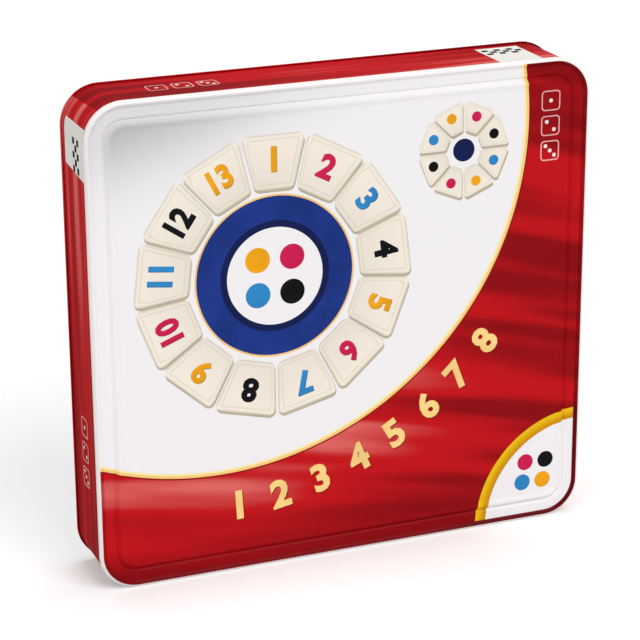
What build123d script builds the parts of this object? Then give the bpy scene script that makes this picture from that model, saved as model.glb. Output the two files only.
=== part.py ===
from build123d import *
import os

# A rummy tile case: a drawn tinplate tin with a full-depth slip lid, standing on its long
# lower edge, with formed plastic trays, four tile racks, a folded rules leaflet and 106
# numbered tiles inside.
#
# X runs along the tin's width, the lid's face looks towards -Y, and +Z is up. The origin is
# the centre of the footprint, on the ground. A "depth" is measured along +Y from the lid's
# foremost point, and an "inset" is measured inwards from the tin's widest outline.

# --- tin ---------------------------------------------------------------------------------
WIDTH = 270.0
HEIGHT = 254.0
DEPTH = 43.0
CORNER_RADIUS = 20.0
SHEET = 0.4  # tinplate thickness
BEAD_PROUD = 0.8  # how far the rim bead and the back roll stand outside the wall
BEAD_WIDTH = 3.4  # inset of the bead's inner foot
BEAD_LENGTH = 3.9  # depth of the bead's outer foot
BORDER_DEPTH = 1.2  # flat border around the lid's panel
PANEL_DEPTH = 0.6  # the lid's raised panel
STEP_OUTER = 8.8  # inset where the border starts to rise to the panel
STEP_INNER = 11.0  # inset where the rise ends
PLATE_INSET = 12.5  # the flat plates start here, under the inner end of the drawn edge
EDGE_INSET = 14.0  # inner end of the drawn edge

# --- tray --------------------------------------------------------------------------------
SLIP_GAP = 0.4  # between the lid's wall and the tray's wall
STOP_GAP = 0.3  # between the lid's border and the tray's curled mouth
CURL = 1.4  # the mouth's curl, turned inwards
CURL_LENGTH = 1.7
BACK_RECESS = 0.4  # the tray's back border inside the lid's back roll
BACK_PANEL_RECESS = 0.6  # the tray's back panel inside its border

# --- contents ----------------------------------------------------------------------------
TILE_WIDTH = 25.5
TILE_HEIGHT = 36.0
TILE_THICKNESS = 4.4
TILE_CORNER = 2.5
TILE_EDGE = 0.5
DIMPLE_RADIUS = 5.0
DIMPLE_DEPTH = 0.5
DIMPLE_DROP = 10.0  # dimple centre below the tile's centre
COLOURS = ("red", "black", "blue", "yellow")
NUMBERS = range(1, 14)
SETS = 2  # every tile comes twice
COLUMNS = 7  # stacks in one row of pockets

RACK_LENGTH = 242.0
RACK_WIDTH = 39.0
RACK_HEIGHT = 34.0
RACK_END_WALL = 2.4
RACK_RIBS = 3

INSERT_SHEET = 0.6
INSERT_INSET = 2.6
INSERT_GAP = 0.3  # between neighbouring formed trays
WELL_LENGTH = 245.0
RACK_WELL = 40.0
TILE_WELL = 37.0
POCKET_WIDTH = 26.5
FINGER_SLOT = 18.0  # the finger way along each tile row
WELL_GAP = 2 * INSERT_SHEET + INSERT_GAP  # between neighbouring wells

LEAFLET_WIDTH = 210.0
LEAFLET_HEIGHT = 74.0
LEAFLET_THICKNESS = 0.5

# --- worked out --------------------------------------------------------------------------
HALF_SHEET = SHEET / 2
WALL_LINE = BEAD_PROUD + HALF_SHEET  # inset of the lid wall's middle
BORDER_LINE = BORDER_DEPTH + HALF_SHEET
PANEL_LINE = PANEL_DEPTH + HALF_SHEET
TRAY_INSET = BEAD_PROUD + SHEET + SLIP_GAP
TRAY_LINE = TRAY_INSET + HALF_SHEET
MOUTH_LINE = BORDER_DEPTH + SHEET + STOP_GAP + HALF_SHEET
BACK_LINE = DEPTH - BACK_RECESS - HALF_SHEET
BACK_PANEL_LINE = BACK_LINE - BACK_PANEL_RECESS
TRAY_WALL_BOTTOM = TRAY_INSET + SHEET  # height of the tray wall's inner face above the ground

INSERT_BACK = BACK_PANEL_LINE - HALF_SHEET  # the wells' floors lie on the tray's panel
WELL_FLOOR = INSERT_BACK - INSERT_SHEET
DECK_FRONT = MOUTH_LINE + CURL_LENGTH + HALF_SHEET + 0.6
COLUMN_PITCH = (WELL_LENGTH - POCKET_WIDTH) / (COLUMNS - 1)

# The wells from the top down: two racks, two rows of tile stacks, two racks.
WELL_HEIGHTS = (RACK_WELL, RACK_WELL, TILE_WELL, TILE_WELL, RACK_WELL, RACK_WELL)
STACKED_HEIGHT = sum(WELL_HEIGHTS) + WELL_GAP * (len(WELL_HEIGHTS) - 1)
WELL_CENTRES = [
    STACKED_HEIGHT / 2 - sum(WELL_HEIGHTS[:i]) - WELL_GAP * i - height / 2
    for i, height in enumerate(WELL_HEIGHTS)
]
RACK_ROWS = [WELL_CENTRES[i] for i in (0, 1, 4, 5)]
TILE_ROWS = [WELL_CENTRES[i] for i in (2, 3)]
TILE_DECKS = 2 * TILE_WELL + WELL_GAP + 2 * INSERT_SHEET  # height of both tile decks


def face_plane(depth):
    """A plane that looks out of the lid's face, centred on the tin, at this depth."""
    return Plane(
        origin=(0, depth - DEPTH / 2, HEIGHT / 2), x_dir=(1, 0, 0), z_dir=(0, -1, 0)
    )


def section_points(*points):
    """Points given as (depth, inset from the tin's lowest line) on the plane X = 0."""
    return [(depth - DEPTH / 2, inset) for depth, inset in points]


def outline_path():
    """The tin's widest outline: its right half from the lower edge's middle, and a mirror image."""
    half_width, half_height = WIDTH / 2, HEIGHT / 2
    FilletPolyline(
        (0, -half_height),
        (half_width, -half_height),
        (half_width, half_height),
        (0, half_height),
        radius=CORNER_RADIUS,
    )
    mirror(about=Plane.YZ)


def plate_outline(inset):
    """The tin's outline drawn this far inwards."""
    RectangleRounded(WIDTH - 2 * inset, HEIGHT - 2 * inset, CORNER_RADIUS - inset)


def rack_wells():
    """The wells of the rack trays, one for each rack."""
    with Locations(*[(0, row) for row in RACK_ROWS]):
        Rectangle(WELL_LENGTH, RACK_WELL)


def tile_wells():
    """The wells of the tile trays: a row of pockets joined by a finger slot in each."""
    for row in TILE_ROWS:
        with Locations((0, row)):
            Rectangle(WELL_LENGTH - POCKET_WIDTH, FINGER_SLOT)
            with GridLocations(COLUMN_PITCH, 1, COLUMNS, 1):
                Rectangle(POCKET_WIDTH, TILE_WELL)


def finish(part, name):
    """Names a piece and writes it."""
    part.label = name
    export_step(part, f"parts/{name}.step")


os.makedirs("parts", exist_ok=True)

# --- lid ---------------------------------------------------------------------------------
# One drawn sheet: a skirt with an outward roll at the back, a rounded bead all round the
# front, a flat border, and a panel that rises from it.
with BuildPart() as lid_shell:
    with BuildLine(face_plane(0)):
        outline_path()
    with BuildSketch(Plane.YZ):
        with BuildLine():
            FilletPolyline(
                *section_points(
                    (DEPTH - 1.8, HALF_SHEET),
                    (DEPTH - HALF_SHEET, HALF_SHEET),
                    (DEPTH - HALF_SHEET, WALL_LINE),
                    (BEAD_LENGTH, WALL_LINE),
                    (BEAD_LENGTH - 0.9, HALF_SHEET),
                    (1.4, HALF_SHEET),
                    (HALF_SHEET, 1.4),
                    (HALF_SHEET, BEAD_WIDTH - 1.2),
                    (BORDER_LINE, BEAD_WIDTH),
                    (BORDER_LINE, STEP_OUTER),
                    (PANEL_LINE, STEP_INNER),
                    (PANEL_LINE, EDGE_INSET),
                ),
                radius=[0.38, 0.38, 0.6, 0.6, 0.8, 0.8, 0.6, 0.6, 0.6, 0.6],
            )
        trace(line_width=SHEET)
    sweep(transition=Transition.RIGHT)
    with BuildSketch(face_plane(PANEL_DEPTH + SHEET)):
        plate_outline(PLATE_INSET)
    extrude(amount=SHEET)
finish(lid_shell.part, "lid_shell")

# --- tray --------------------------------------------------------------------------------
# The lower half, nearly as deep as the lid, with its mouth curled inwards and its back
# panel pressed in.
with BuildPart() as tray_shell:
    with BuildLine(face_plane(0)):
        outline_path()
    with BuildSketch(Plane.YZ):
        with BuildLine():
            FilletPolyline(
                *section_points(
                    (MOUTH_LINE + CURL_LENGTH, TRAY_LINE + CURL),
                    (MOUTH_LINE, TRAY_LINE + CURL),
                    (MOUTH_LINE, TRAY_LINE),
                    (BACK_LINE, TRAY_LINE),
                    (BACK_LINE, STEP_OUTER + 1.2),
                    (BACK_PANEL_LINE, STEP_INNER + 1.0),
                    (BACK_PANEL_LINE, EDGE_INSET),
                ),
                radius=[0.6, 0.6, 1.6, 0.6, 0.6],
            )
        trace(line_width=SHEET)
    sweep(transition=Transition.RIGHT)
    with BuildSketch(face_plane(BACK_PANEL_LINE + HALF_SHEET)):
        plate_outline(PLATE_INSET + 0.5)
    extrude(amount=SHEET)
finish(tray_shell.part, "tray_shell")

# --- insert ------------------------------------------------------------------------------
# Four formed plastic trays stand one above another: a rack tray at the top and at the
# bottom, and two tile trays between them. Each is a deck behind the mouth's curl with its
# wells hanging from it.
for name, wells, band, keep in (
    ("rack_trays", rack_wells, TILE_DECKS + 2 * INSERT_GAP, Mode.SUBTRACT),
    ("tile_trays", tile_wells, TILE_DECKS, Mode.INTERSECT),
):
    with BuildPart() as formed_trays:
        with BuildSketch(face_plane(DECK_FRONT + INSERT_SHEET)):
            plate_outline(INSERT_INSET)
            Rectangle(WIDTH, band, mode=keep)
            if keep is Mode.INTERSECT:
                Rectangle(WIDTH, INSERT_GAP, mode=Mode.SUBTRACT)
        extrude(amount=INSERT_SHEET)
        with BuildSketch(face_plane(INSERT_BACK)):
            wells()
            offset(amount=INSERT_SHEET, kind=Kind.INTERSECTION)
        extrude(amount=INSERT_BACK - DECK_FRONT)
        with BuildSketch(face_plane(WELL_FLOOR)):
            wells()
        extrude(amount=WELL_FLOOR - DECK_FRONT, mode=Mode.SUBTRACT)
    finish(formed_trays.part, name)

# --- racks -------------------------------------------------------------------------------
# Two-tier racks, moulded hollow with closed ends and three ribs. The section is drawn as
# (distance from the front lip, height above the table); in the tin the front lip is down.
RACK_SECTION = (
    (0, 0),
    (0, 9),
    (2.4, 9),
    (3.2, 4.6),
    (8.6, 4.6),
    (15.2, 21.6),
    (17.6, 21.6),
    (18.4, 17.4),
    (23.8, 17.4),
    (31, RACK_HEIGHT),
    (33.6, RACK_HEIGHT),
    (RACK_WIDTH, 0),
)
RACK_HOLLOW = ((10, 0), (15.6, 15), (25.6, 15), (31.4, 29.5), (32.2, 29.5), (36.6, 0))
CHAMBERS = RACK_RIBS + 1
CHAMBER_PITCH = (RACK_LENGTH - RACK_END_WALL) / CHAMBERS
CHAMBER_LENGTH = CHAMBER_PITCH - RACK_END_WALL


def rack_plane(x):
    """A plane across a rack at this X: its x runs up the tin, its y out of the lid's face."""
    return Plane(origin=(x, 0, 0), x_dir=(0, 0, 1), z_dir=(1, 0, 0))


with BuildPart() as rack:
    with BuildSketch(rack_plane(-RACK_LENGTH / 2)):
        with BuildLine():
            Polyline(*RACK_SECTION, close=True)
        make_face()
    extrude(amount=RACK_LENGTH)
    for chamber in range(CHAMBERS):
        chamber_start = -RACK_LENGTH / 2 + RACK_END_WALL + chamber * CHAMBER_PITCH
        with BuildSketch(rack_plane(chamber_start)):
            with BuildLine():
                Polyline(*RACK_HOLLOW, close=True)
            make_face()
        extrude(amount=CHAMBER_LENGTH, mode=Mode.SUBTRACT)

with BuildPart() as tile_racks:
    with Locations(
        *[
            (0, WELL_FLOOR - DEPTH / 2, HEIGHT / 2 + row - RACK_WELL / 2)
            for row in RACK_ROWS
        ]
    ):
        add(rack.part)
finish(tile_racks.part, "tile_racks")

# --- rules leaflet -----------------------------------------------------------------------
# A sheet folded to a quarter, standing on the tray's lower wall between curl and deck.
leaflet_centre = TRAY_WALL_BOTTOM + LEAFLET_HEIGHT / 2 - HEIGHT / 2
with BuildPart() as rules_leaflet:
    with BuildSketch(face_plane(DECK_FRONT)):
        with Locations((0, leaflet_centre)):
            Rectangle(LEAFLET_WIDTH, LEAFLET_HEIGHT)
    extrude(amount=LEAFLET_THICKNESS)
finish(rules_leaflet.part, "rules_leaflet")

# --- tiles -------------------------------------------------------------------------------
# A tile lies with its back on the plane Y = 0 and its lower edge on Z = 0.
tile_plane = Plane(
    origin=(0, 0, TILE_HEIGHT / 2), x_dir=(1, 0, 0), z_dir=(0, -1, 0)
)
with BuildPart() as tile:
    with BuildSketch(tile_plane):
        RectangleRounded(TILE_WIDTH, TILE_HEIGHT, TILE_CORNER)
    extrude(amount=TILE_THICKNESS)
    fillet(tile.faces().filter_by(Axis.Y).edges(), TILE_EDGE)
    with BuildSketch(tile_plane.offset(TILE_THICKNESS - DIMPLE_DEPTH)):
        with Locations((0, -DIMPLE_DROP)):
            Circle(DIMPLE_RADIUS)
    extrude(amount=DIMPLE_DEPTH, mode=Mode.SUBTRACT)


def stack_place(stack, level):
    """Where a tile lies: stacks run left to right, top row first, levels from the back."""
    row, column = divmod(stack, COLUMNS)
    return (
        (column - (COLUMNS - 1) / 2) * COLUMN_PITCH,
        WELL_FLOOR - DEPTH / 2 - level * TILE_THICKNESS,
        HEIGHT / 2 + TILE_ROWS[row] - TILE_WELL / 2,
    )


# Stack n holds the eight tiles numbered n. The colours take turns to be on top.
for turn, colour in enumerate(COLOURS):
    for number in NUMBERS:
        first_level = (turn + number) % len(COLOURS)
        with BuildPart() as tile_pair:
            with Locations(
                *[
                    stack_place(number - 1, first_level + copy * len(COLOURS))
                    for copy in range(SETS)
                ]
            ):
                add(tile.part)
        finish(tile_pair.part, f"tile_{colour}_{number:02d}")

# The two jokers are alone in the last pocket, one on the other.
for level, colour in enumerate(("black", "red")):
    with BuildPart() as tile_joker:
        with Locations(stack_place(len(NUMBERS), level)):
            add(tile.part)
    finish(tile_joker.part, f"tile_joker_{colour}")
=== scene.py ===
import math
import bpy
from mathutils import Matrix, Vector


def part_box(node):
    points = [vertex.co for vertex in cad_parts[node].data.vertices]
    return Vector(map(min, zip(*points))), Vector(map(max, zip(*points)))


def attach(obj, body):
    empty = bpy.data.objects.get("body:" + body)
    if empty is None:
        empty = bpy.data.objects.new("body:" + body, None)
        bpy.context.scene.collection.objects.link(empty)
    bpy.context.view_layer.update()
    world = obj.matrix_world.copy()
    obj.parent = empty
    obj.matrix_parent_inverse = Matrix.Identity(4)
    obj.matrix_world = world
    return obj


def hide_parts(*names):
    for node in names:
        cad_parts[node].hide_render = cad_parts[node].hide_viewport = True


bl_info = {
    "name": "Rummy Tile Case",
    "version": (1, 0, 0),
    "blender": (4, 5, 0),
    "location": "View3D > Sidebar > Tile Case",
    "description": "Builds a printed tin of rummy tiles around its packed frame",
    "category": "Object",
}

from functools import cache

import bmesh
import bpy
import numpy as np
from bpy.props import FloatProperty, FloatVectorProperty, PointerProperty

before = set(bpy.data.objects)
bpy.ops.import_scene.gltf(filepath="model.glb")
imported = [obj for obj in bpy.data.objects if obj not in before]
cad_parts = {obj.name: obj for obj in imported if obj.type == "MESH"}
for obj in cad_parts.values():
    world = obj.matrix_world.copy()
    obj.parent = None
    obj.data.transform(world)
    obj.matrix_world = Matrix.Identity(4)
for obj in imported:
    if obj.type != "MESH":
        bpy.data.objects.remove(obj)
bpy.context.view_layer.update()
MM = 0.001
COLOURS = ("red", "black", "blue", "yellow")
NUMBERS = range(1, 14)

# Sections of the two shells, in millimetres: (depth, inset) of the sheet's middle from the
# rolled edge to the panel, and the radius of each corner between.
LID_SECTION = (
    (41.2, 0.2), (42.8, 0.2), (42.8, 1.0), (3.9, 1.0), (3.0, 0.2), (1.4, 0.2),
    (0.2, 1.4), (0.2, 2.2), (1.4, 3.4), (1.4, 8.4), (2.3, 9.4), (0.3, 11.6),
    (0.3, 12.6), (0.8, 14.6), (0.8, 16.0),
)
LID_RADII = (0.38, 0.38, 0.6, 0.6, 0.8, 0.8, 0.6, 0.6, 0.5, 0.5, 0.8, 0.8, 1.0)
TRAY_SECTION = (
    (3.8, 3.2), (2.1, 3.2), (2.1, 1.8), (42.4, 1.8), (42.4, 10.0), (41.8, 12.0),
    (41.8, 14.0),
)
TRAY_RADII = (0.6, 0.6, 1.6, 0.6, 0.6)
ROLL_PRINT = 41  # the back roll is printed behind this depth

# The planes that print lies on, in millimetres: origin, then right, up and outwards.
FACES = {
    "front": ((0, -20.9, 0), (1, 0, 0), (0, 0, 1), (0, -1, 0)),
    "top": ((0, 0, 253.2), (1, 0, 0), (0, 1, 0), (0, 0, 1)),
    "left": ((-134.2, 0, 0), (0, -1, 0), (0, 0, 1), (-1, 0, 0)),
}
SUNK = -0.05  # print reaches this far under its plane
INK, LAID, RAISED, DIGIT = 0.02, 0.04, 0.05, 0.06  # heights of print over its plane

# The large dial and the small one: centre, inner and outer radius of the plates, their
# count, the gap between them and the turn of the first, and the radius of their marks.
DIAL = ((-39.0, 157.0), 45.0, 73.0, 13, 1.6, 0.0)
DIAL_MARKS = 60.5
DIAL_DIGITS = 13.0
SMALL_DIAL = ((64.0, 211.0), 9.5, 24.0, 8, 1.2, 22.5)
SMALL_DIAL_MARKS = 18.2
PLATE_EDGE = (0.3, -1.5)  # a plate's edge shows this far beside and below it
DIGIT_EDGE = (0.25, -0.35)  # and a number's
RINGS = (41.6, 42.6), (29, 41.6), (25.5, 29)  # the dial's gold, blue and navy rings
DIAL_DOTS_REACH = 13
DIAL_DOT, SMALL_DOT, SMALL_HUB, CORNER_DOT = 6.6, 2.7, 6.0, 4.6  # radii
CORNER_DOTS = (103, 33.5), (115, 33.5), (101.5, 22), (113.5, 22)  # their middles

# The row of numbers runs along the gold line.
ROW_COUNT = 8
ROW_REACH = 21  # beyond the line
ROW_START, ROW_STEP = 3, 6.9  # degrees from straight down
ROW_DIGITS, ROW_TOP = 16.0, 0.03
ROW_EDGE = (0.5, -0.6)

# The pip squares of each face: the first one's middle, the step to the next, the size.
SQUARES = {
    "front": ((112.8, 232.0), (0.0, -13.2), 10.6),
    "top": ((-91.0, 1.5), (13.2, 0.0), 10.2),
    "left": ((-1.5, 82.0), (0.0, -13.5), 10.2),
}
PIPS = (((0, 0),), ((-2.5, 2.5), (2.5, -2.5)), ((-3, 3), (0, 0), (3, -3)))
PIPS_DRAWN_FOR = 12.6  # the size of square that the pips' places are given for
LINE = 1.2  # both sides of a square's line together

# The chequers of the patches: the first check's middle, and the counts across and up.
CHECKS = (("left", (-0.5, 217.6), (3, 5)), ("top", (89.6, 3.0), (6, 3)))
CHECK, CHECK_STEP = 3.4, 3.5

# Where the walls' print changes, in metres anticlockwise around the tin from the lower
# right corner: the seam at the upper left corner and the two ends of each white patch.
SEAM = 0.5205
LEFT_PATCH = (0.5315, 0.5565)
TOP_PATCH = (0.2814, 0.3054)
PATCH_DEPTH = (5.5, 37)  # millimetres from the front

EDGE_SOFT = 0.12 * MM  # half the width of an edge between two inks
BEAD, GROOVE = 1.5 * MM, 3.5 * MM  # insets at which the bead's line and the groove end
GOLD_LINE, BAND = 2.5 * MM, 6 * MM  # widths of the gold line and of the corner's band

# The silk fans out from here, in metres on the lid's face.
FAN_X, FAN_Z = 1.5, -0.25

JOKER_STAR = 6.2
MARK_RISE = 6.5  # a tile's number stands this far above its middle
MARK_TOP, MARK_LOW = 0.03, -0.1  # its ends over the tile's face and under it
TILE_THICKNESS = 4.4
FORMED_EDGE, RACK_EDGE = 0.22 * MM, 0.6 * MM  # widths of the bevels
LAYERS, PAPER = 4, 0.1 * MM  # of the leaflet

# The far lamps: name, place in metres, share of the key lamp's strength, spread in degrees.
LAMPS = (
    ("key", (0.9, -3.0, 3.2), 1.0, 38),
    ("side", (-3.4, -2.2, 2.6), 0.28, 50),
    ("top", (0.3, 0.45, 3.6), 0.45, 22),
)
LAMPS_LOOK_AT = (0, 0, 0.12)
FLOOR_REACH = 8.0


def srgb(red, green, blue):
    """A colour of 0 to 255 as linear values: ((c + 0.055) / 1.055) to the power 2.4."""
    c = np.array((red, green, blue)) / 255.0
    linear = np.where(c <= 0.04045, c / 12.92, ((c + 0.055) / 1.055) ** 2.4)
    return (*(float(v) for v in linear), 1.0)


def shaded(colour, share):
    """A colour times a share, at most 1 and opaque."""
    return (*(min(1.0, c * share) for c in colour[:3]), 1.0)


def number_of(name, text, value):
    """A plain number property."""
    return FloatProperty(name=name, description=text, default=value)


def angle_of(name, text, degrees):
    """An angle property with its default in degrees."""
    return FloatProperty(
        name=name, description=text, default=math.radians(degrees), subtype="ANGLE"
    )


def length_of(name, text, millimetres):
    """A length property with its default in metres."""
    return FloatProperty(
        name=name, description=text, default=millimetres * MM, unit="LENGTH", precision=5
    )


def colour_of(name, text, red, green, blue):
    """A colour property whose default is given as 0 to 255."""
    default = srgb(red, green, blue)
    return FloatVectorProperty(
        name=name, description=text, default=default, subtype="COLOR", size=4, min=0, max=1
    )


# --- settings ---


class TinSettings(bpy.types.PropertyGroup):
    """Sizes and finishes of the two drawn shells."""

    width: length_of("Width", "Outside width over the rim bead", 270)
    height: length_of("Height", "Outside height over the rim bead", 254)
    depth: length_of("Depth", "From the bead's front to the lid's back roll", 43)
    corner_radius: length_of("Corner Radius", "Radius of the tin's corners", 20)
    sheet: length_of("Sheet", "Thickness of the tinplate", 0.4)
    metal: colour_of("Tinplate", "Bare tinplate", 196, 198, 202)


class PrintSettings(bpy.types.PropertyGroup):
    """Colours and sizes of the lid's print."""

    red_dark: colour_of("Dark Red", "Folds of the red ground", 140, 14, 20)
    red: colour_of("Red", "The red ground", 194, 22, 28)
    red_light: colour_of("Light Red", "Bright streaks of the red ground", 236, 128, 122)
    # Painted shade: the dark red of the groove inside the bead stands in for the shade that
    # falls in that recess.
    maroon: colour_of("Maroon", "The groove inside the bead", 92, 8, 16)
    # Painted highlight in part: the pale line on the rim bead is a printed line that also
    # stands in for the highlight the rounded bead catches.
    bead: colour_of("Bead", "The pale line on the rim bead", 243, 238, 236)
    patch: colour_of("Patch", "The white patches of the walls", 236, 235, 228)
    pale: colour_of("Pale", "The pale ground", 243, 240, 242)
    pale_grey: colour_of("Pale Grey", "The pale ground's shaded corner", 188, 188, 190)
    gold: colour_of("Gold", "The line around the pale ground", 250, 204, 126)
    gold_pale: colour_of("Pale Gold", "The gold line's inner edge", 252, 240, 176)
    gold_deep: colour_of("Deep Gold", "The band around the white corner", 206, 140, 12)
    gold_light: colour_of("Light Gold", "The band's outer edge", 238, 194, 26)
    ivory: colour_of("Ivory", "Faces of the printed plates", 233, 224, 211)
    ivory_side: colour_of("Ivory Side", "Edges of the printed plates", 192, 181, 158)
    band: colour_of("Blue", "The dial's blue ring", 34, 58, 138)
    band_dark: colour_of("Navy", "The blue ring's inner edge", 24, 34, 82)
    cream: colour_of("Cream", "The numbers on the red ground", 255, 216, 138)
    line: colour_of("Line", "Lines of the pip squares", 240, 190, 186)
    arc_x: length_of("Arc X", "Centre of the pale ground's arc, across", -70)
    arc_z: length_of("Arc Z", "Centre of the pale ground's arc, above the ground", 225)
    arc_radius: length_of("Arc Radius", "Radius of the pale ground", 168)
    corner_disc: length_of("Corner Disc", "Radius of the white corner", 55)


class ContentsSettings(bpy.types.PropertyGroup):
    """Finishes of the tiles, racks, formed trays and leaflet."""

    tile: colour_of("Tile", "Tile plastic", 240, 232, 216)
    red: colour_of("Red Numbers", "Numbers of the red tiles", 206, 34, 84)
    black: colour_of("Black Numbers", "Numbers of the black tiles", 22, 22, 26)
    blue: colour_of("Blue Numbers", "Numbers of the blue tiles", 52, 140, 204)
    yellow: colour_of("Yellow Numbers", "Numbers of the yellow tiles", 244, 168, 28)
    rack: colour_of("Rack", "Rack plastic", 28, 54, 134)
    insert: colour_of("Insert", "Plastic of the formed trays", 44, 45, 48)
    paper: colour_of("Paper", "Leaflet paper", 236, 234, 228)
    number_height: length_of("Number Height", "Height of a tile's number", 12.5)


class StageSettings(bpy.types.PropertyGroup):
    """The camera, the lamps and the floor."""

    yaw: angle_of("Yaw", "Camera's turn to the left of the front", -21.7)
    pitch: angle_of("Pitch", "Camera's height above the horizon", 19.28)
    roll: angle_of("Roll", "Camera's turn about its own axis", -0.37)
    distance: length_of("Distance", "Camera to the aim point", 1194.5)
    aim_x: length_of("Aim X", "Aim point, across", -15.3)
    aim_z: length_of("Aim Z", "Aim point, above the ground", 130.7)
    lens: number_of("Lens", "Focal length in millimetres", 132.76)
    ambient: number_of("Ambient", "Strength of the surrounding light", 0.42)
    key: number_of("Key", "Strength of the key lamp", 1.45)
    floor: colour_of("Floor", "Floor colour", 232, 232, 232)
    glow: number_of("Glow", "White that the floor shows besides its light", 0.27)


class CaseSettings(bpy.types.PropertyGroup):
    """All settings of the tile case."""

    tin: PointerProperty(type=TinSettings)
    print: PointerProperty(type=PrintSettings)
    contents: PointerProperty(type=ContentsSettings)
    stage: PointerProperty(type=StageSettings)


# --- shapes ---


def unit(vector):
    """A vector divided by its length."""
    return vector / np.linalg.norm(vector)


def rounded_line(points, radii, steps=6, closed=False):
    """A line through points with its corners rounded.

    Each corner p becomes an arc of radius r about the point r / sin(half angle) along the
    bisector; it starts and ends r / tan(half angle) away from p. Gives points and normals,
    which stand to the left of the line.
    """
    points = np.asarray(points, float)
    count = len(points)
    radii = np.broadcast_to(np.asarray(radii, float), (count if closed else count - 2,))
    places, normals = [], []

    def left(direction):
        return np.array((-direction[1], direction[0]))

    if not closed:
        places.append(points[:1])
        normals.append(left(unit(points[1] - points[0]))[None])
    for i in range(count) if closed else range(1, count - 1):
        before, here, after = points[i - 1], points[i], points[(i + 1) % count]
        radius = radii[i if closed else i - 1]
        to_before, to_after = unit(before - here), unit(after - here)
        half = math.acos(np.clip(to_before @ to_after, -1, 1)) / 2
        into = left(-to_before)
        turn = math.atan2(into @ to_after, -to_before @ to_after)
        share = np.linspace(0, 1, steps + 1)[:, None] * turn
        cos, sin = np.cos(share), np.sin(share)
        normal = np.hstack((into[0] * cos - into[1] * sin, into[0] * sin + into[1] * cos))
        reach = radius / math.sin(half)
        centre = here + unit(to_before + to_after) * reach
        places.append(centre - normal * radius * np.sign(turn))
        normals.append(normal)
    if not closed:
        places.append(points[-1:])
        normals.append(left(unit(points[-1] - points[-2]))[None])
    return np.vstack(places), np.vstack(normals)


def tin_outline(tin, corner_steps=16, side_steps=24):
    """The tin's widest outline about its centre, its outward normals and the run along it.

    Four arcs of the corner radius, a quarter turn each, joined by straight sides.
    """
    radius = tin.corner_radius
    x, z = tin.width / 2 - radius, tin.height / 2 - radius
    places, normals = [], []
    corners = ((x, -z, -90), (x, z, 0), (-x, z, 90), (-x, -z, 180))
    for i, (cx, cz, start) in enumerate(corners):
        angle = np.radians(start + np.linspace(0, 90, corner_steps + 1))
        normal = np.stack((np.cos(angle), np.sin(angle)), 1)
        arc = np.array((cx, cz)) + radius * normal
        nx, nz, _ = corners[(i + 1) % 4]
        goal = np.array((nx, nz)) + radius * normal[-1]
        share = np.linspace(0, 1, side_steps + 1)[1:-1, None]
        places += [arc, arc[-1] * (1 - share) + goal * share]
        normals += [normal, np.repeat(normal[-1:], side_steps - 1, 0)]
    places, normals = np.vstack(places), np.vstack(normals)
    step = np.linalg.norm(np.roll(places, -1, 0) - places, axis=1)
    return places, normals, np.concatenate(([0], np.cumsum(step)))


def new_object(name, data):
    """A new object at the origin, linked to the scene."""
    thing = bpy.data.objects.new(name, data)
    bpy.context.scene.collection.objects.link(thing)
    return thing


def mesh_piece(name, places, faces, materials, maps=None, smooth=True, slots=None):
    """A new object from numpy points and faces, with loop UV maps and material numbers."""
    mesh = bpy.data.meshes.new(name)
    mesh.from_pydata(
        np.asarray(places, float).tolist(), [], [list(map(int, f)) for f in faces]
    )
    for material in materials:
        mesh.materials.append(material)
    mesh.polygons.foreach_set("use_smooth", np.full(len(mesh.polygons), smooth))
    if slots is not None:
        mesh.polygons.foreach_set("material_index", np.asarray(slots, np.int32))
    for title, uv in (maps or {}).items():
        layer = mesh.uv_layers.new(name=title)
        layer.data.foreach_set("uv", np.asarray(uv, np.float32).ravel())
    mesh.update()
    return new_object(name, mesh)


def drawn_shell(name, tin, section, radii, materials, printed=None):
    """A sheet carried round the tin's outline and closed by a flat panel.

    section holds (depth, inset) of the sheet's middle, rolled edge first and panel last. A
    point is outline - inset * normal across the tin and depth - half depth along Y, and
    the two skins lie half the sheet to either side of the middle. The map "wrap" holds the
    run around the tin and along the section, and "section" holds (depth, inset). The first
    material covers the outer skin, and the inner one behind the depth named printed.
    """
    middle, side = rounded_line(np.array(section) * MM, np.array(radii) * MM)
    step = np.linalg.norm(np.diff(middle, axis=0), axis=1)
    run = np.concatenate(([0], np.cumsum(step)))
    run = run[-1] - run
    half = tin.sheet / 2
    outer, inner = middle + side * half, middle - side * half
    strip = np.vstack((outer[::-1], inner))
    strip_run = np.concatenate((run[::-1], run))
    outline, normal, around = tin_outline(tin)
    turns, steps = len(outline), len(strip)
    flat = outline[:, None] - strip[None, :, 1, None] * normal[:, None]
    y = np.broadcast_to(strip[:, 0] - tin.depth / 2, flat.shape[:2])
    places = np.stack((flat[..., 0], y, flat[..., 1] + tin.height / 2), -1)
    i, j = np.meshgrid(np.arange(turns), np.arange(steps - 1), indexing="ij")
    i4 = np.stack((i, i, i + 1, i + 1), -1)
    j4 = np.stack((j, j + 1, j + 1, j), -1)
    quads = (i4 % turns * steps + j4).reshape(-1, 4)
    uv = np.stack((around[i4], strip_run[j4]), -1).reshape(-1, 2)
    cut = strip[j4].reshape(-1, 2)
    ring = np.arange(turns) * steps
    faces = [*quads, ring, (ring + steps - 1)[::-1]]
    uv = np.vstack((uv, np.zeros((2 * turns, 2))))
    cut = np.vstack((cut, np.tile(middle[-1], (2 * turns, 1))))
    outside = np.tile(np.arange(steps - 1) < len(outer) - 1, turns)
    if printed is not None:
        depth = (strip[:-1, 0] + strip[1:, 0]) / 2
        outside |= np.tile(depth > printed, turns)
    index = np.concatenate((np.where(outside, 0, 1), (0, 1)))
    places, maps = places.reshape(-1, 3), {"wrap": uv, "section": cut}
    return mesh_piece(name, places, faces, materials, maps, slots=index)


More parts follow.
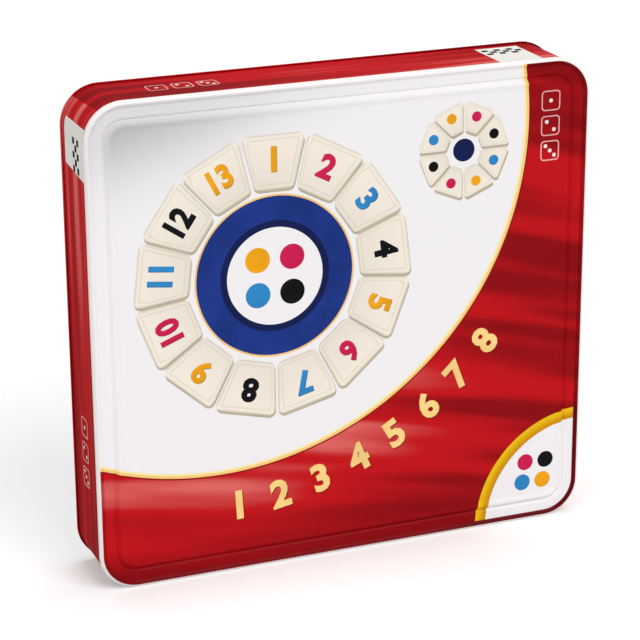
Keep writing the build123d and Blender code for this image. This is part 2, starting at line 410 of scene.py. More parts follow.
class Print:
    """Gathers flat shapes in millimetres and makes one mesh of them."""

    def __init__(self, face="front"):
        self.origin, *axes = (np.array(v, float) for v in FACES[face])
        self.axes = np.array(axes)
        self.places, self.faces, self.uv, self.count = [], [], [], 0

    def add(self, places, faces, uv):
        self.places.append(self.origin + places @ self.axes)
        self.faces += [np.asarray(f) + self.count for f in faces]
        self.uv.append(uv)
        self.count += len(places)

    def plate(self, outline, top, low=SUNK, part=None):
        """A closed plate over an outline that runs anticlockwise, with UVs over its box."""
        outline = np.asarray(outline, float)
        n = len(outline)
        ring = np.arange(n)
        nxt = np.roll(ring, -1)
        places = [np.column_stack((outline, np.full(n, z))) for z in (top, low)]
        sides = np.stack((ring + n, nxt + n, nxt, ring), 1)
        faces = [ring, ring[::-1] + n, *sides]
        if part is None:
            part = (outline - outline.min(0)) / np.ptp(outline, axis=0)
        both = np.vstack((part, part))
        self.add(np.vstack(places), faces, both[np.concatenate(faces)])

    def frame(self, inner, outer, top):
        """A closed band between two outlines of equal counts."""
        n = len(inner)
        loops = [(outer, top), (inner, top), (inner, SUNK), (outer, SUNK)]
        places = [np.column_stack((line, np.full(n, z))) for line, z in loops]
        a, k = np.arange(n), np.arange(4)[:, None]
        b, m = (a + 1) % n, (k + 1) % 4
        faces = np.stack((k * n + a, k * n + b, m * n + b, m * n + a), -1).reshape(-1, 4)
        uv = np.tile(((0.0, 0.0), (1.0, 0.0), (1.0, 1.0), (0.0, 1.0)), (len(faces), 1))
        self.add(np.vstack(places), list(faces), uv)

    def letters(self, shape, place, height, angle, top, low=SUNK, width=1.0):
        """A number's mesh, turned by angle and scaled to its height, as a closed plate."""
        places, faces = shape
        flat = places[:, :2] * height * (width, 1)
        turned = turned_by(flat, angle) + np.asarray(place)
        level = np.where(places[:, 2] > 0, top, low)
        corners = np.concatenate(faces)
        self.add(np.column_stack((turned, level)), faces, flat[corners] * 0.01)

    def piece(self, name, material, body, slot):
        """Makes the mesh, and rides it on a body."""
        places, maps = np.vstack(self.places) * MM, {"wrap": np.vstack(self.uv)}
        piece = mesh_piece(name, places, self.faces, [material], maps, smooth=False)
        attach(piece, body)
        return piece


def turned_by(points, angle):
    """Points turned anticlockwise about the origin."""
    cos, sin = math.cos(angle), math.sin(angle)
    return points @ np.array(((cos, sin), (-sin, cos)))


def rounded_square(size, radius, place):
    """An anticlockwise square with rounded corners."""
    h = size / 2
    points, _ = rounded_line(((-h, -h), (h, -h), (h, h), (-h, h)), radius, 5, closed=True)
    return points + np.asarray(place)


def disc(radius, place, steps=32):
    """A circle: centre + radius * (cos, sin)."""
    angle = np.linspace(0, 2 * math.pi, steps, endpoint=False)
    return np.asarray(place) + radius * np.stack((np.cos(angle), np.sin(angle)), 1)


def star(radius, place):
    """A five-pointed star: ten points whose radius changes between r and 0.42 r."""
    turn = np.linspace(0, 2 * math.pi, 10, endpoint=False) + math.pi / 2
    reach = np.where(np.arange(10) % 2 == 0, radius, radius * 0.42)[:, None]
    return np.asarray(place) + reach * np.stack((np.cos(turn), np.sin(turn)), 1)


@cache
def number_shape(text):
    """A number as a closed flat mesh of height 1, its centre at the origin."""
    curve = bpy.data.curves.new("number", "FONT")
    curve.body = text
    curve.offset = 0.04
    curve.extrude = 0.5
    curve.resolution_u = 3
    letters = new_object("number", curve)
    letters = letters.evaluated_get(bpy.context.evaluated_depsgraph_get())
    mesh = bpy.data.meshes.new_from_object(letters)
    places = np.array([vertex.co for vertex in mesh.vertices], float)
    faces = [np.array(face.vertices) for face in mesh.polygons]
    low, high = places.min(0), places.max(0)
    places[:, :2] = (places[:, :2] - (low + high)[:2] / 2) / (high[1] - low[1])
    bpy.data.curves.remove(curve)
    bpy.data.meshes.remove(mesh)
    return places, faces


# --- materials ---


class Nodes:
    """Short ways to add and join nodes."""

    def __init__(self, tree):
        self.tree = tree
        self.join = tree.links.new

    def add(self, kind, inputs=None, **values):
        node = self.tree.nodes.new(kind)
        for key, value in values.items():
            setattr(node, key, value)
        for key, value in (inputs or {}).items():
            if isinstance(value, bpy.types.NodeSocket):
                self.join(value, node.inputs[key])
            else:
                node.inputs[key].default_value = value
        return node

    def math(self, operation, a, b=0.0):
        return self.add("ShaderNodeMath", {0: a, 1: b}, operation=operation).outputs[0]

    def plus(self, a, b):
        return self.math("ADD", a, b)

    def minus(self, a, b):
        return self.math("SUBTRACT", a, b)

    def times(self, a, b):
        return self.math("MULTIPLY", a, b)

    def split(self, vector):
        return self.add("ShaderNodeSeparateXYZ", {0: vector}).outputs

    def place(self):
        """The point in the object's own coordinates."""
        return self.add("ShaderNodeTexCoord").outputs["Object"]

    def map(self, name):
        return self.split(self.add("ShaderNodeUVMap", uv_map=name).outputs[0])

    def noise(self, vector, scale, detail, **more):
        """Noise from 0 to 1, in patches of about 1 / scale metres."""
        inputs = {"Vector": vector, "Scale": scale, "Detail": detail, **more}
        return self.add("ShaderNodeTexNoise", inputs).outputs[0]

    def ramp(self, value, low, high, to_low=0.0, to_high=1.0):
        """Smooth change from to_low to to_high as value goes from low to high."""
        names = ("Value", "From Min", "From Max", "To Min", "To Max")
        inputs = dict(zip(names, (value, low, high, to_low, to_high)))
        node = self.add("ShaderNodeMapRange", inputs, interpolation_type="SMOOTHSTEP")
        return node.outputs[0]

    def below(self, value, limit):
        """1 under a limit and 0 over it, through a ramp 0.24 mm wide."""
        return self.ramp(value, limit - EDGE_SOFT, limit + EDGE_SOFT, 1.0, 0.0)

    def within(self, value, low, high):
        """1 between two limits and 0 outside them, through the same ramps."""
        over = self.ramp(value, low - EDGE_SOFT, low + EDGE_SOFT)
        return self.times(over, self.below(value, high))

    def mix(self, share, a, b):
        """From colour a to colour b by a share of 0 to 1."""
        inputs = {0: share, 6: a, 7: b}
        return self.add("ShaderNodeMix", inputs, data_type="RGBA").outputs[2]

    def group(self, tree, **inputs):
        """A shared group with its inputs set or joined; gives its outputs."""
        return self.add("ShaderNodeGroup", inputs, node_tree=tree).outputs

    def bump(self, shader, height, strength, distance):
        inputs = {"Height": height, "Strength": strength, "Distance": distance}
        bump = self.add("ShaderNodeBump", inputs)
        self.join(bump.outputs[0], shader.inputs["Normal"])


def node_group(name, inputs, outputs, fill):
    """A shared group with named sockets, filled in the first time that it is asked for."""
    if name in bpy.data.node_groups:
        return bpy.data.node_groups[name]
    group = bpy.data.node_groups.new(name, "ShaderNodeTree")
    for way, sockets in (("INPUT", inputs), ("OUTPUT", outputs)):
        for socket in sockets:
            kind = "NodeSocketVector" if socket == "Vector" else "NodeSocketFloat"
            group.interface.new_socket(socket, in_out=way, socket_type=kind)
    start = group.nodes.new("NodeGroupInput")
    end = group.nodes.new("NodeGroupOutput")
    n = Nodes(group)
    for socket, value in fill(n, start.outputs).items():
        n.join(value, end.inputs[socket])
    return group


def silk_group():
    """Soft folds and fine streaks along X of its vector, as one value from 0 to 1."""

    def fill(n, start):
        stretch = n.add("ShaderNodeCombineXYZ", {0: start["Length"], 1: 1.0, 2: 1.0})
        both = {0: start["Vector"], 1: stretch.outputs[0]}
        thin = n.add("ShaderNodeVectorMath", both, operation="MULTIPLY").outputs[0]
        wide = n.noise(thin, start["Fold"], 1.0, Roughness=0.4)
        fine = n.noise(thin, n.times(start["Fold"], 4.0), 0.0)
        return {"Fold": n.ramp(wide, 0.28, 0.72), "Streak": n.ramp(fine, 0.3, 0.75)}

    return node_group("silk_folds", ("Vector", "Fold", "Length"), ("Fold", "Streak"), fill)


def wear_group():
    """Slow unevenness of a surface: a height for Bump and a share for roughness."""

    def fill(n, start):
        slow = n.noise(start["Vector"], start["Scale"], 2.0)
        grain = n.noise(start["Vector"], start["Grain"], 1.0)
        height = n.plus(slow, n.times(grain, 0.12))
        return {"Height": height, "Smudge": n.ramp(slow, 0.35, 0.7)}

    sockets = ("Vector", "Scale", "Grain"), ("Height", "Smudge")
    return node_group("surface_wear", *sockets, fill)


def new_material(name, **constants):
    """A material with a Principled BSDF whose plain sockets are set by name."""
    material = bpy.data.materials.new(name)
    material.use_nodes = True
    tree = material.node_tree
    shader = tree.nodes["Principled BSDF"]
    for key, value in constants.items():
        shader.inputs[key.replace("_", " ")].default_value = value
    return material, Nodes(tree), shader


def add_wear(n, shader, place, scale, grain, strength, distance, rough):
    """Joins the wear group to Normal, and to Roughness between two values."""
    wear = n.group(wear_group(), Vector=place, Scale=scale, Grain=grain)
    n.bump(shader, wear["Height"], strength, distance)
    n.join(n.ramp(wear["Smudge"], 0.0, 1.0, *rough), shader.inputs["Roughness"])


def varnished_material(name, paint):
    """Ink under a thin varnish; paint(n, place) gives its colour."""
    material, n, shader = new_material(
        name,
        Metallic=0.0,
        IOR=1.5,
        Specular_IOR_Level=0.0,
        Coat_Weight=0.05,
        Coat_Roughness=0.06,
    )
    place = n.place()
    n.join(paint(n, place), shader.inputs["Base Color"])
    add_wear(n, shader, place, 14.0, 700.0, 0.12, 0.0006, (0.3, 0.4))
    return material


def red_ground(n, colours, fold, streak, bright):
    """The red print: dark folds, the plain red, and pale streaks where it is bright."""
    level = n.plus(n.times(fold, 0.55), n.times(bright, 0.45))
    base = n.mix(n.ramp(level, 0.1, 0.6), colours.red_dark, colours.red)
    high = n.times(n.ramp(level, 0.62, 0.98), n.ramp(streak, 0.1, 0.8, 0.78, 1.0))
    return n.mix(n.times(high, 0.75), base, colours.red_light)


def paint_front(n, place, inset, tin, colours):
    """The lid's face: a pale ground inside an arc, red silk, and a white corner.

    Each boundary is a distance from a point of the face, or an inset from the tin's
    outline. The silk's folds are noise over the bearing from a point beyond the right
    edge, so they fan out to the left.
    """
    x, _, z = n.split(place)
    times = n.times

    def away(cx, cz):
        """Distance from a point of the lid's face."""
        dx, dz = n.minus(x, cx), n.minus(z, cz)
        return n.math("SQRT", n.plus(times(dx, dx), times(dz, dz)))

    bearing = n.math("ARCTAN2", n.plus(z, -FAN_Z), n.minus(FAN_X, x))
    fan = {0: away(FAN_X, FAN_Z), 1: times(bearing, FAN_X), 2: 0.3}
    fan = n.add("ShaderNodeCombineXYZ", fan).outputs[0]
    silk = n.group(silk_group(), Vector=fan, Fold=62.0, Length=0.08)
    lit = times(n.ramp(x, -0.06, 0.12, 1.0, 0.05), n.ramp(z, 0.0, 0.06, 0.0, 1.0))
    fold = times(silk["Fold"], n.ramp(z, 0.0, 0.035, 0.35, 1.0))
    face = red_ground(n, colours, fold, silk["Streak"], lit)
    corner = away(tin.width / 2, 0.0)
    # Painted shade: the groove inside the bead is painted dark all round, darkest near the
    # lower right corner, as if that side lay in shade.
    groove = n.within(inset, BEAD, GROOVE)
    groove = times(groove, n.ramp(corner, 0.05, 0.09, 0.9, 0.4))
    face = n.mix(groove, face, colours.maroon)

    shade = n.plus(n.minus(z, times(x, 0.36)), times(n.noise(place, 9.0, 1.0), 0.012))
    shade = n.math("POWER", n.ramp(shade, 0.2, 0.292), 4.0)
    shade = times(shade, n.ramp(inset, 8 * MM, 14 * MM, 0.4, 1.0))
    ground = n.mix(shade, colours.pale, colours.pale_grey)
    arc, r = away(colours.arc_x, colours.arc_z), colours.arc_radius
    face = n.mix(n.within(arc, r + 2.3 * MM, r + 3.3 * MM), face, colours.red_dark)
    face = n.mix(n.below(arc, r), face, ground)
    gold = n.ramp(arc, r + 0.6 * MM, r + 1.4 * MM)
    gold = n.mix(gold, colours.gold_pale, colours.gold)
    face = n.mix(n.within(arc, r, r + GOLD_LINE), face, gold)

    r = colours.corner_disc
    flat = n.ramp(inset, 3.4 * MM, 3.8 * MM)
    face = n.mix(times(n.below(corner, r), flat), face, colours.pale)
    gold = n.mix(n.ramp(corner, r, r + BAND), colours.gold_deep, colours.gold_light)
    face = n.mix(times(n.within(corner, r, r + BAND), flat), face, gold)
    # The pale bead line, laid all round the rim: partly a printed line, partly a painted
    # highlight of the rounded bead.
    return n.mix(n.below(inset, BEAD), face, colours.bead)


def paint_walls(n, place, around, depth, tin, colours):
    """The lid's walls: silk that runs around the tin, a slanted seam and white patches."""
    wrap = n.add("ShaderNodeUVMap", uv_map="wrap").outputs[0]
    silk = n.group(silk_group(), Vector=wrap, Fold=120.0, Length=0.045)
    lean = n.minus(around, n.times(n.split(place)[1], 0.05))
    past_seam = n.math("GREATER_THAN", lean, SEAM)
    near_front = n.ramp(depth, 4 * MM, 26 * MM, 0.35, 0.0)
    top_lit = n.plus(n.ramp(around, 0.40, 0.5, 0.5, -0.1), near_front)
    left_lit = n.times(n.ramp(around, 0.52, 0.70, 1.05, 0.1), past_seam)
    lit = n.plus(left_lit, n.times(top_lit, n.minus(1.0, past_seam)))
    wall = red_ground(n, colours, silk["Fold"], silk["Streak"], lit)
    slant = n.plus(around, n.times(n.minus(depth, 21 * MM), 0.1))
    left = n.minus(n.below(slant, LEFT_PATCH[1]), n.below(around, LEFT_PATCH[0]))
    patches = n.math("MAXIMUM", left, n.within(around, *TOP_PATCH))
    patches = n.times(patches, n.within(depth, *(d * MM for d in PATCH_DEPTH)))
    wall = n.mix(patches, wall, colours.patch)
    # Painted shade: the walls darken towards the back roll, standing in for the shade under
    # the rolled edge.
    back_roll_shade = n.ramp(depth, tin.depth - 1.4 * MM, tin.depth - 0.5 * MM)
    return n.mix(n.times(back_roll_shade, 0.15), wall, colours.red_dark)


def lid_print_material(tin, colours):
    """The lid's varnished print: its face in front, its walls behind the bead."""

    def paint(n, place):
        around = n.map("wrap")[0]
        depth, inset, _ = n.map("section")
        face = paint_front(n, place, inset, tin, colours)
        wall = paint_walls(n, place, around, depth, tin, colours)
        return n.mix(n.ramp(depth, 3.25 * MM, 3.45 * MM, 1.0, 0.0), wall, face)

    return varnished_material("lid_print", paint)


def ink_material(name, colour, mottle=0.06):
    """A printed flat colour under the same varnish, with a little unevenness in the ink."""

    def paint(n, place):
        spots = n.ramp(n.noise(place, 60.0, 2.0), 0.35, 0.65)
        return n.mix(spots, tuple(colour), shaded(colour, 1 - mottle * 2))

    return varnished_material(name, paint)


def ivory_print_material(colours):
    """Faces of the printed plates: paler outwards, with a soft darker rim.

    The map runs across each plate and from its inner edge to its outer one, and the rim is
    the least distance to an edge through a ramp.
    """

    def paint(n, place):
        u, v, _ = n.map("wrap")
        cloud = n.plus(v, n.noise(place, 24.0, 2.0))
        shade = n.mix(n.ramp(cloud, 0.2, 1.6), colours.ivory, shaded(colours.ivory, 1.12))
        across, up = (n.math("MINIMUM", w, n.minus(1.0, w)) for w in (u, v))
        reach = n.math("MINIMUM", across, up)
        shade = n.mix(n.ramp(reach, 0.0, 0.05, 0.55, 0.0), shade, colours.ivory_side)
        step = n.times(n.ramp(reach, 0.07, 0.09), n.ramp(reach, 0.09, 0.12, 1.0, 0.0))
        return n.mix(n.times(step, 0.3), shade, colours.ivory_side)

    return varnished_material("printed_ivory", paint)


def tinplate_material(tin, name="tinplate"):
    """Bare tinplate: fine rolling grain along X and faint dull patches."""
    material, n, shader = new_material(name, Metallic=1.0, IOR=1.6)
    place = n.place()
    stretch = {"Vector": place, "Scale": (6.0, 240.0, 600.0)}
    lines = n.noise(n.add("ShaderNodeMapping", stretch).outputs[0], 4.0, 3.0)
    dull = shaded(tin.metal, 0.78)
    patch = n.ramp(n.noise(place, 18.0, 2.0), 0.3, 0.75)
    shade = n.mix(patch, tuple(tin.metal), dull)
    shade = n.mix(n.times(n.ramp(lines, 0.3, 0.7), 0.35), shade, dull)
    n.join(shade, shader.inputs["Base Color"])
    n.join(n.ramp(lines, 0.2, 0.8, 0.26, 0.42), shader.inputs["Roughness"])
    n.bump(shader, lines, 0.08, 0.0001)
    return material


def plastic_material(name, colour, rough, grain, strength, mottle, coat=0.0):
    """Moulded plastic: a fine moulded texture, faint flow marks and uneven gloss."""
    material, n, shader = new_material(
        name, Metallic=0.0, IOR=1.5, Coat_Weight=coat, Coat_Roughness=0.15
    )
    place = n.place()
    flow = n.ramp(n.noise(place, 35.0, 3.0, Distortion=0.6), 0.3, 0.7)
    shade = n.mix(flow, tuple(colour), shaded(colour, 1 - mottle * 2))
    n.join(shade, shader.inputs["Base Color"])
    add_wear(n, shader, place, 45.0, grain, strength, 0.0003, rough)
    return material


def paper_material(colour):
    """Uncoated paper with fibres."""
    material, n, shader = new_material("leaflet_paper", Metallic=0.0, IOR=1.45)
    place = n.place()
    fibre = n.ramp(n.noise(place, 420.0, 4.0), 0.35, 0.65)
    n.join(n.mix(fibre, tuple(colour), shaded(colour, 0.93)), shader.inputs["Base Color"])
    add_wear(n, shader, place, 30.0, 1500.0, 0.3, 0.0003, (0.72, 0.85))
    return material


# --- operators ---


class TILECASE_OT_lid(bpy.types.Operator):
    """Replace the lid by a smooth drawn shell with its printed skin"""

    bl_idname = "tile_case.lid"
    bl_label = "Lid"

    def execute(self, context):
        case = context.scene.tile_case
        skins = [
            lid_print_material(case.tin, case.print),
            tinplate_material(case.tin, "lid_inside"),
        ]
        lid = drawn_shell(
            "lid_skin", case.tin, LID_SECTION, LID_RADII, skins, ROLL_PRINT * MM
        )
        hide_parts("lid_shell")
        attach(lid, "lid")
        return {"FINISHED"}


class TILECASE_OT_tray(bpy.types.Operator):
    """Replace the tray by a smooth drawn shell of bare tinplate"""

    bl_idname = "tile_case.tray"
    bl_label = "Tray"

    def execute(self, context):
        tin = context.scene.tile_case.tin
        metal = tinplate_material(tin)
        tray = drawn_shell("tray_skin", tin, TRAY_SECTION, TRAY_RADII, [metal, metal])
        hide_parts("tray_shell")
        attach(tray, "tray")
        return {"FINISHED"}


class TILECASE_OT_print(bpy.types.Operator):
    """Lay the dials, the row of numbers, the dots and the pip squares on the lid"""

    bl_idname = "tile_case.print"
    bl_label = "Print"

    def execute(self, context):
        case = context.scene.tile_case
        colours, contents = case.print, case.contents
        faces, sides, band, edge, rim, row, row_edge = (Print() for _ in range(7))
        digits, shades, dots = ({name: Print() for name in COLOURS} for _ in range(3))

        def wheel(centre, inner, outer, count, gap, start):
            """Plates of a dial, each with its edge below; gives their turns and bearings.

            A plate is a wedge of the ring between two radii with rounded corners, drawn
            upright and turned clockwise about the centre by its share of the circle.
            """
            spread = math.tan(math.pi / count)
            low, high = inner * spread - gap / 2, outer * spread - gap / 2
            corners = ((-low, inner), (low, inner), (high, outer), (-high, outer))
            wedge, _ = rounded_line(corners, (outer - inner) * 0.12, 5, closed=True)
            share = (wedge[:, 1] - inner) / (outer - inner)
            width = low + (high - low) * share
            part = np.column_stack((wedge[:, 0] / (2 * width) + 0.5, share))
            for i in range(count):
                turn = -math.radians(start) - 2 * math.pi * i / count
                turned = turned_by(wedge, turn) + centre
                sides.plate(turned + PLATE_EDGE, INK)
                faces.plate(turned, LAID, part=part)
                yield turn, np.array((-math.sin(turn), math.cos(turn)))

        dial = np.array(DIAL[0])
        for i, (turn, out) in enumerate(wheel(*DIAL)):
            number = i + 1
            name = ("yellow", "red", "blue", "black")[i % 4]
            spot = dial + out * DIAL_MARKS
            width = 1.0 if number < 10 else 0.9
            shape = number_shape(str(number))
            place = spot + DIGIT_EDGE
            shades[name].letters(shape, place, DIAL_DIGITS, turn, RAISED, width=width)
            digits[name].letters(shape, spot, DIAL_DIGITS, turn, DIGIT, width=width)
        for shapes, radii in zip((rim, band, edge), RINGS):
            shapes.frame(*(disc(radius, dial, 96) for radius in radii), INK)
        for i, name in enumerate(COLOURS):
            turn = math.radians(45 + 90 * i)
            spot = dial + DIAL_DOTS_REACH * np.array((math.sin(turn), math.cos(turn)))
            dots[name].plate(disc(DIAL_DOT, spot), INK)

        small = np.array(SMALL_DIAL[0])
        for i, (_, out) in enumerate(wheel(*SMALL_DIAL)):
            spot = small + out * SMALL_DIAL_MARKS
            dots[COLOURS[i % 4]].plate(disc(SMALL_DOT, spot), DIGIT)
        edge.plate(disc(SMALL_HUB, small), INK)

        for name, spot in zip(COLOURS, CORNER_DOTS):
            dots[name].plate(disc(CORNER_DOT, spot), INK)

        centre = np.array((colours.arc_x, colours.arc_z)) / MM
        reach = colours.arc_radius / MM + ROW_REACH
        for i in range(ROW_COUNT):
            turn = math.radians(ROW_START + ROW_STEP * i)
            spot = centre + reach * np.array((math.sin(turn), -math.cos(turn)))
            shape = number_shape(str(i + 1))
            row_edge.letters(shape, spot + ROW_EDGE, ROW_DIGITS, turn, INK)
            row.letters(shape, spot, ROW_DIGITS, turn, ROW_TOP)

        inks = {
            name: ink_material(f"ink_{name}", getattr(contents, name)) for name in COLOURS
        }
        side, dark = colours.ivory_side, colours.red_dark
        made = [
            (sides, "plate_edges", ink_material("printed_edge", side)),
            (faces, "plate_faces", ivory_print_material(colours)),
            (band, "ring", ink_material("printed_blue", colours.band, 0.1)),
            (edge, "ring_edge", ink_material("printed_navy", colours.band_dark)),
            (rim, "ring_rim", ink_material("printed_gold", colours.gold)),
            (row_edge, "row_shade", ink_material("printed_dark_red", dark)),
            (row, "number_row", ink_material("printed_cream", colours.cream)),
        ]
        for name in COLOURS:
            deep = shaded(getattr(contents, name), 0.45)
            deep = ink_material(f"ink_{name}_deep", deep)
            made.append((digits[name], f"numbers_{name}", inks[name]))
            made.append((shades[name], f"shades_{name}", deep))
            made.append((dots[name], f"dots_{name}", inks[name]))

        line = ink_material("printed_line", colours.line)
        pip = ink_material("printed_white", srgb(250, 236, 232))
        for face, (first, step, size) in SQUARES.items():
            squares, pips = Print(face), Print(face)
            for i, pattern in enumerate(PIPS):
                spot = np.array(first) + np.array(step) * i
                inner = rounded_square(size - LINE, size * 0.14, spot)
                squares.frame(inner, rounded_square(size, size * 0.19, spot), INK)
                for place in pattern:
                    place = spot + np.array(place) * size / PIPS_DRAWN_FOR
                    pips.plate(disc(size * 0.1, place, 20), LAID)
            made.append((squares, f"squares_{face}", line))
            made.append((pips, f"pips_{face}", pip))
        for face, first, count in CHECKS:
            checks = Print(face)
            for i in range(count[0]):
                for j in range(i % 2, count[1], 2):
                    spot = (first[0] + CHECK_STEP * i, first[1] + CHECK_STEP * j)
                    checks.plate(rounded_square(CHECK, 0.3, spot), INK)
            made.append((checks, f"checks_{face}", inks["black"]))
        for shapes, name, material in made:
            shapes.piece(f"print_{name}", material, "lid", "lid_print")
        return {"FINISHED"}


class TILECASE_OT_tiles(bpy.types.Operator):
    """Give the tiles their plastic and their numbers"""

    bl_idname = "tile_case.tiles"
    bl_label = "Tiles"

    def execute(self, context):
        contents = context.scene.tile_case.contents
        ivory = plastic_material(
            "tile_plastic", contents.tile, (0.28, 0.36), 1200, 0.06, 0.02, 0.2
        )
        for colour in COLOURS:
            ink = plastic_material(
                f"number_{colour}", getattr(contents, colour), (0.3, 0.4), 1200, 0.05, 0.05
            )
            names = [f"tile_{colour}_{n:02d}" for n in NUMBERS]
            names += [f"tile_joker_{colour}"] if colour in ("red", "black") else []
            numbers = Print()
            numbers.origin = np.zeros(3)
            for name in names:
                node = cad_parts[name]
                node.data.materials.clear()
                node.data.materials.append(ivory)
                for x, y, z in tile_places(name):
                    spot = (x, z + MARK_RISE)
                    top, low = MARK_TOP - y, MARK_LOW - y
                    if "joker" in name:
                        numbers.plate(star(JOKER_STAR, spot), top, low)
                        continue
                    number = int(name[-2:])
                    shape, height = number_shape(str(number)), contents.number_height / MM
                    width = 0.95 if number > 9 else 1.0
                    numbers.letters(shape, spot, height, 0.0, top, low, width)
            numbers.piece(f"numbers_{colour}", ink, "tray", "tile_ivory")
        return {"FINISHED"}


def tile_places(name):
    """Centres of the front faces of a node's one or two tiles, in millimetres."""
    low, high = (np.array(c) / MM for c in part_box(name))
    x, z = (low[0] + high[0]) / 2, (low[2] + high[2]) / 2
    alone = high[1] - low[1] < 1.5 * TILE_THICKNESS
    fronts = [low[1]] if alone else [low[1], high[1] - TILE_THICKNESS]
    return [(x, y, z) for y in fronts]


def softened(node, width, material):
    """A node's copy whose edges are rounded by a bevel; it stands for the node.

    Its doubles are merged and its flat faces joined first, so that only real edges get the
    bevel.
    """
    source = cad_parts[node]
    mesh = source.data.copy()
    mesh.name = f"{node}_soft"
    work = bmesh.new()
    work.from_mesh(mesh)
    bmesh.ops.remove_doubles(work, verts=work.verts, dist=0.01 * MM)
    bmesh.ops.dissolve_limit(
        work, angle_limit=math.radians(1), verts=work.verts, edges=work.edges
    )
    work.to_mesh(mesh)
    work.free()
    mesh.materials.clear()
    mesh.materials.append(material)
    mesh.shade_smooth()
    piece = new_object(mesh.name, mesh)
    bevel = piece.modifiers.new("edges", "BEVEL")
    bevel.width = width
    bevel.segments = 2
    bevel.limit_method = "ANGLE"
    bevel.angle_limit = math.radians(35)
    bevel.harden_normals = True
    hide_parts(node)
    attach(piece, "tray")
    return piece


def folded_sheet(name, low, high, layers, thickness, material):
    """A sheet folded to and fro between two heights, carried along X.

    Its middle line runs up, round a half circle of half the layers' pitch, and down again,
    and the two skins lie half the thickness to either side.
    """
    pitch = (high[1] - low[1] - thickness) / (layers - 1)
    bottom, top = low[2] + thickness / 2, high[2] - thickness / 2
    line = []
    for k in range(layers):
        y = low[1] + thickness / 2 + k * pitch
        ends = [(y, bottom), (y, top)]
        line += ends if k % 2 == 0 else ends[::-1]
    middle, side = rounded_line(line, pitch / 2 * 0.98, 6)
    half = thickness / 2
    loop = np.vstack((middle + side * half, (middle - side * half)[::-1]))
    n = len(loop)
    places = np.vstack([np.column_stack((np.full(n, x), loop)) for x in (low[0], high[0])])
    a = np.arange(n)
    b = (a + 1) % n
    i = np.arange(n // 2 - 1)
    j = n - 1 - i
    ends = np.stack((j, i, i + 1, j - 1), -1)
    faces = [*np.stack((a, a + n, b + n, b), -1), *ends, *(ends[:, ::-1] + n)]
    return mesh_piece(name, places, faces, [material], smooth=False)


class TILECASE_OT_contents(bpy.types.Operator):
    """Make the formed trays, the racks and the folded leaflet"""

    bl_idname = "tile_case.contents"
    bl_label = "Trays, Racks, Leaflet"

    def execute(self, context):
        contents = context.scene.tile_case.contents
        formed = plastic_material(
            "insert_plastic", contents.insert, (0.42, 0.55), 600, 0.3, 0.1
        )
        moulded = plastic_material(
            "rack_plastic", contents.rack, (0.3, 0.42), 700, 0.15, 0.08, 0.1
        )
        for node in ("rack_trays", "tile_trays"):
            softened(node, FORMED_EDGE, formed)
        softened("tile_racks", RACK_EDGE, moulded)
        low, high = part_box("rules_leaflet")
        leaflet = folded_sheet(
            "leaflet_sheet", low, high, LAYERS, PAPER, paper_material(contents.paper)
        )
        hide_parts("rules_leaflet")
        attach(leaflet, "tray")
        return {"FINISHED"}


def looking_back(way, place, roll=0.0):
    """The matrix of a thing at a place that looks against a way, turned by roll."""
    right = unit(np.cross((0, 0, 1), way))
    up = np.cross(way, right)
    cos, sin = math.cos(roll), math.sin(roll)
    matrix = np.identity(4)
    matrix[:3] = np.stack((cos * right + sin * up, cos * up - sin * right, way, place), 1)
    return matrix.T.tolist()


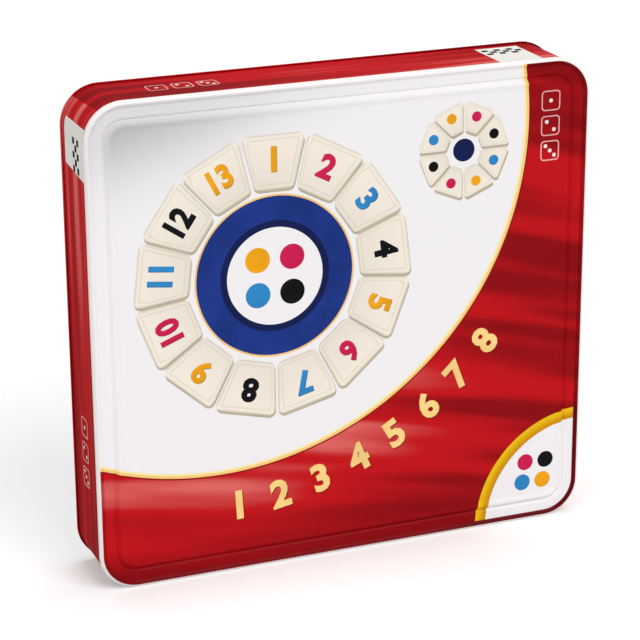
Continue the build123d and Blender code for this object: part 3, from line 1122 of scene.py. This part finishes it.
class TILECASE_OT_stage(bpy.types.Operator):
    """Set the floor, the lamps, the surrounding light and the camera"""

    bl_idname = "tile_case.stage"
    bl_label = "Stage"

    def execute(self, context):
        scene = context.scene
        stage = scene.tile_case.stage
        colour = tuple(stage.floor)
        floor_material, n, shader = new_material(
            "floor", Base_Color=colour, Roughness=0.9, Specular_IOR_Level=0.0
        )
        seen = n.times(self.seen(n), stage.glow)
        glow = n.add("ShaderNodeEmission", {"Color": (1, 1, 1, 1), "Strength": seen})
        both = n.add("ShaderNodeAddShader", {0: shader.outputs[0], 1: glow.outputs[0]})
        n.join(both.outputs[0], n.tree.nodes["Material Output"].inputs[0])
        corners = np.array(((-1, -1, 0), (1, -1, 0), (1, 1, 0), (-1, 1, 0))) * FLOOR_REACH
        floor = mesh_piece("floor", corners, [(0, 1, 2, 3)], [floor_material], smooth=False)

        world = bpy.data.worlds.new("surroundings")
        scene.world = world
        world.use_nodes = True
        w = Nodes(world.node_tree)
        back = world.node_tree.nodes["Background"]
        back.inputs["Color"].default_value = (1, 1, 1, 1)
        strength = w.plus(stage.ambient, w.times(self.seen(w), 1.0 - stage.ambient))
        w.join(strength, back.inputs["Strength"])

        for name, place, share, spread in LAMPS:
            light = bpy.data.lights.new(name, "SUN")
            light.energy = stage.key * share
            light.angle = math.radians(spread)
            way = unit(np.subtract(place, LAMPS_LOOK_AT))
            new_object(name, light).matrix_world = looking_back(way, place)

        yaw, level = stage.yaw, math.cos(stage.pitch)
        way = (math.sin(yaw) * level, -math.cos(yaw) * level, math.sin(stage.pitch))
        way = np.array(way)
        aim = (stage.aim_x, -scene.tile_case.tin.depth / 2, stage.aim_z)
        lens = bpy.data.cameras.new("camera")
        lens.lens, lens.sensor_width = stage.lens, 36.0
        lens.clip_start, lens.clip_end = 0.05, 60.0
        camera = new_object("camera", lens)
        place = np.array(aim) + way * stage.distance
        camera.matrix_world = looking_back(way, place, stage.roll)
        scene.camera = camera
        scene.view_settings.view_transform = "Standard"
        return {"FINISHED"}

    def seen(self, n):
        """1 for rays that show a thing: from the camera, off gloss and through glass."""
        path = n.add("ShaderNodeLightPath")
        camera, glossy, through = (
            path.outputs[f"Is {kind} Ray"] for kind in ("Camera", "Glossy", "Transmission")
        )
        return n.math("MAXIMUM", n.math("MAXIMUM", camera, glossy), through)


# --- panel and registration ---


class TILECASE_PT_panel(bpy.types.Panel):
    """Lists the steps and the settings"""

    bl_label = "Tile Case"
    bl_idname = "TILECASE_PT_panel"
    bl_space_type = "VIEW_3D"
    bl_region_type = "UI"
    bl_category = "Tile Case"

    def draw(self, context):
        layout = self.layout
        for operator in OPERATORS:
            layout.operator(operator.bl_idname)
        case = context.scene.tile_case
        for group in (case.tin, case.print, case.contents, case.stage):
            box = layout.box()
            for name in group.__annotations__:
                box.prop(group, name)


OPERATORS = (
    TILECASE_OT_lid,
    TILECASE_OT_tray,
    TILECASE_OT_print,
    TILECASE_OT_tiles,
    TILECASE_OT_contents,
    TILECASE_OT_stage,
)
GROUPS = (TinSettings, PrintSettings, ContentsSettings, StageSettings, CaseSettings)
CLASSES = (*GROUPS, *OPERATORS, TILECASE_PT_panel)


def register():
    for cls in CLASSES:
        bpy.utils.register_class(cls)
    bpy.types.Scene.tile_case = PointerProperty(type=CaseSettings)


def unregister():
    del bpy.types.Scene.tile_case
    for cls in reversed(CLASSES):
        bpy.utils.unregister_class(cls)


def main():
    """Builds every piece in order."""
    register()
    for operator in OPERATORS:
        getattr(bpy.ops.tile_case, operator.bl_idname.split(".")[1])()


if __name__ == "__main__":
    main()
